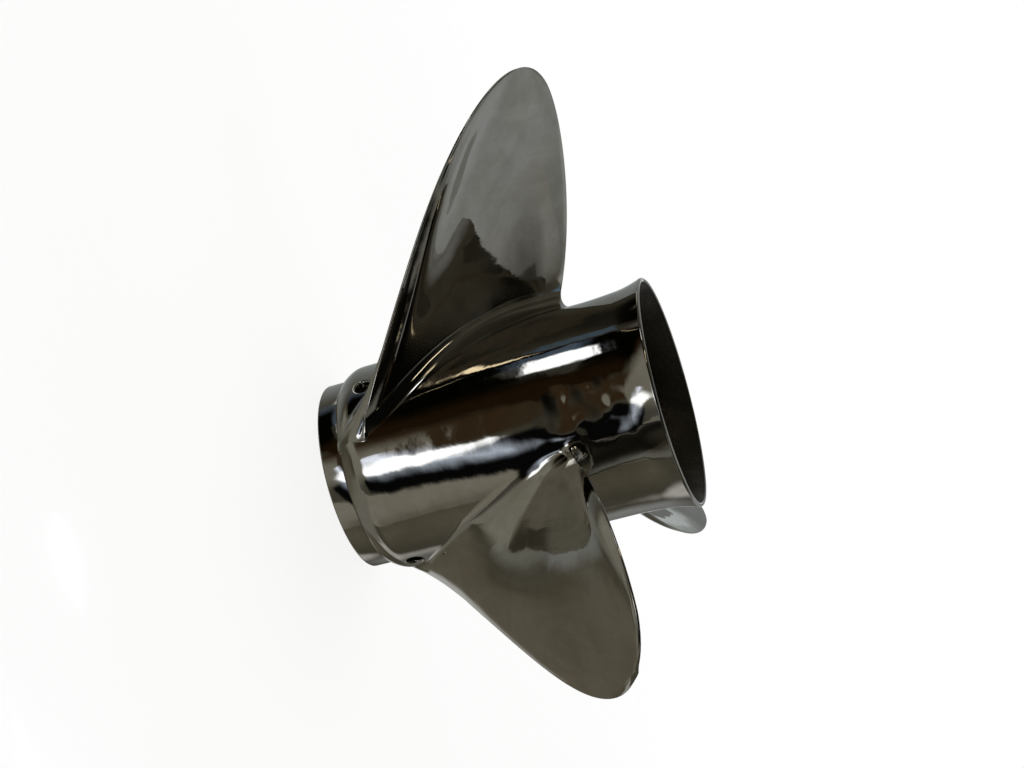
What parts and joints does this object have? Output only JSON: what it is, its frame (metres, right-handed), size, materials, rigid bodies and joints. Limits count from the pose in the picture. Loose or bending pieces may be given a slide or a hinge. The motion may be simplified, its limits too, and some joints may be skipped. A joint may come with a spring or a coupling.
{
  "type": "ship propeller",
  "caption": "Polished stainless steel boat propeller for an outboard drive, with swept left-hand blades and the exhaust led out through a flared hub.",
  "frame": {"origin": "on the shaft axis, in the plane of the front collar's end face, which is the face it stands on", "axes": "+Z along the shaft axis from the front collar to the flared outlet, the way the water is pushed when driving ahead; the first blade points along +Y"},
  "size_m": [0.3176, 0.3088, 0.1778],
  "materials": {
    "polished_stainless_steel": "mirror polished",
    "as_cast_stainless_steel": "as cast, dull and sooty",
    "black_rubber": "matt",
    "sleeve_bronze": "machined"
  },
  "bodies": {
    "root": {"barrel": "polished_stainless_steel", "front_collar": "polished_stainless_steel", "flare_ring": "polished_stainless_steel", "blade_1": "polished_stainless_steel", "blade_2": "polished_stainless_steel", "blade_3": "polished_stainless_steel", "inner_hub": "as_cast_stainless_steel", "rib_1": "as_cast_stainless_steel", "rib_2": "as_cast_stainless_steel", "rib_3": "as_cast_stainless_steel", "rubber_bush": "black_rubber", "spline_sleeve": "sleeve_bronze"}
  },
  "joints": []
}
